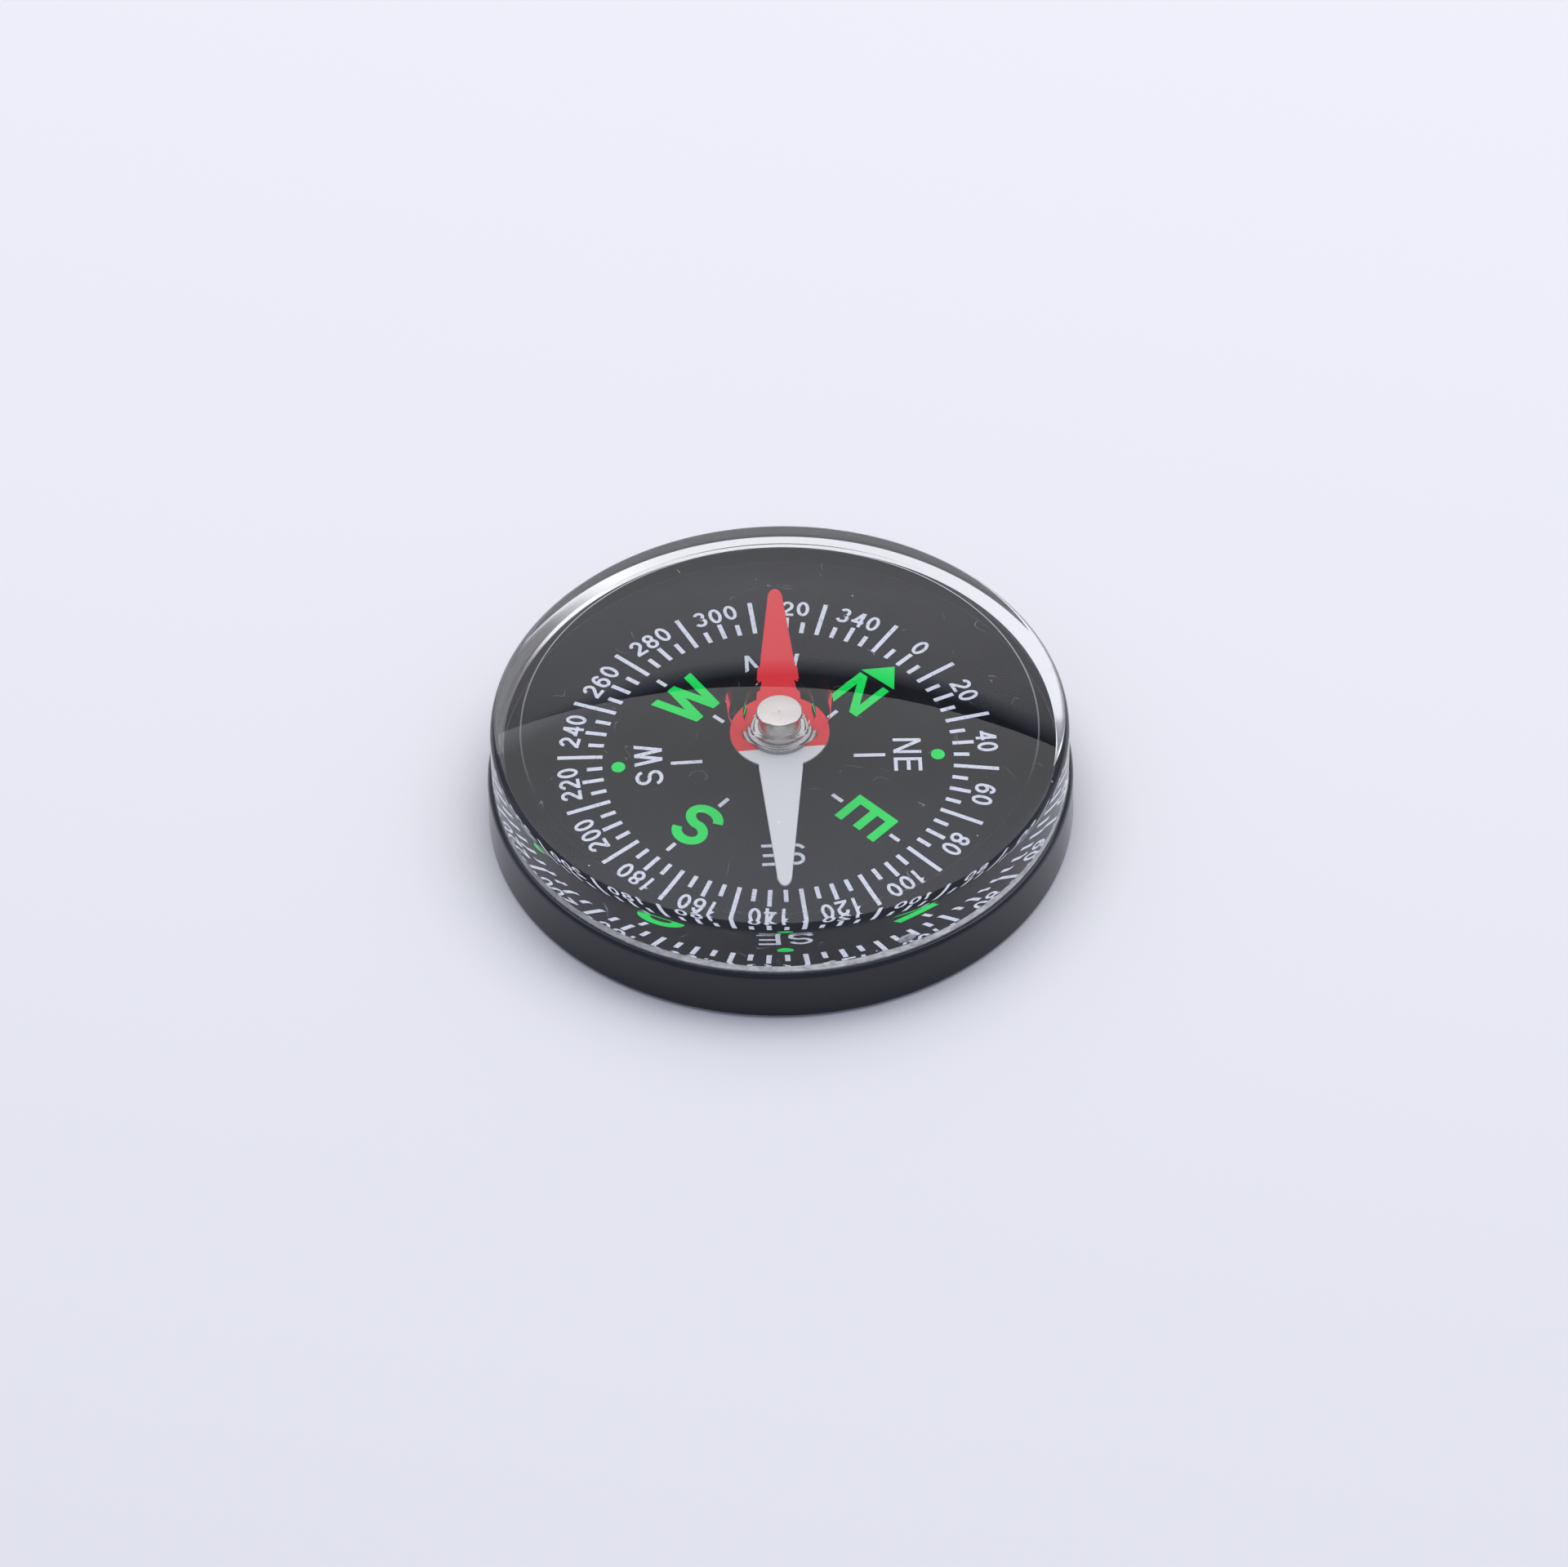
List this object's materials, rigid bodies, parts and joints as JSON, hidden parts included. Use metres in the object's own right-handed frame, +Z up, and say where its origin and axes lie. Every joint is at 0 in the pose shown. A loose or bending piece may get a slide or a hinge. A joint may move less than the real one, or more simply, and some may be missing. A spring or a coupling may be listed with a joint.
{
  "type": "liquid-filled button compass",
  "caption": "Round black button compass with a printed degree dial, a red and white needle on a jewelled cap, and a domed clear cover over a liquid filling.",
  "frame": {"origin": "middle of the flat underside of the cup", "axes": "+Z up through the needle's point, +Y to the north mark of the dial, +X to its east mark"},
  "size_m": [0.045, 0.045, 0.0123],
  "materials": {
    "black_abs": "moulded black plastic, satin",
    "dial_print": "matt black sheet with white and green print",
    "hardened_steel": "ground and hardened",
    "needle_paint": "red and white paint on stamped steel",
    "nickel_plate": "turned brass, nickel plated",
    "jewel_glass": "polished bearing glass",
    "clear_cement": "cloudy solvent cement",
    "clear_acrylic": "polished clear moulding"
  },
  "bodies": {
    "case": {"case_base": "black_abs", "dial_card": "dial_print", "pivot_pin": "hardened_steel", "cement_ring": "clear_cement", "lens_cover": "clear_acrylic"},
    "needle": {"needle_blade": "needle_paint", "needle_cap": "nickel_plate", "cap_jewel": "jewel_glass"}
  },
  "joints": [
    {"name": "needle_spin", "type": "hinge", "parent": "case", "child": "needle", "pos_m": [0, 0, 0.0084], "axis": [0, 0, 1], "continuous": true}
  ]
}
